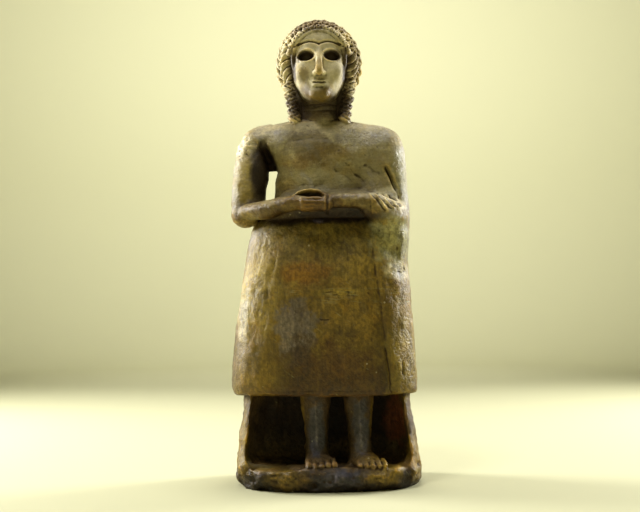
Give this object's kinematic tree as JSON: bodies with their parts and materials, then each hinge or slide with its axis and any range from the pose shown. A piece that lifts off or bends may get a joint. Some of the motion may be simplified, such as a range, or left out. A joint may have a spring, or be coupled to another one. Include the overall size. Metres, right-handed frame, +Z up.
{
  "type": "worshipper statuette",
  "caption": "Carved stone statuette of a standing robed worshipper with clasped hands and plaited hair, on its own low base.",
  "frame": {"origin": "on the underside of the base, within 2 mm of the middle of the footprint box", "axes": "+Z up along the figure, -Y the way the figure faces, +X towards the figure's left"},
  "size_m": [0.0873, 0.056, 0.2202],
  "materials": {
    "stone": "hand-worn, waxy, brown patina over pale gypsum"
  },
  "bodies": {
    "root": {"statuette": "stone"}
  },
  "joints": []
}
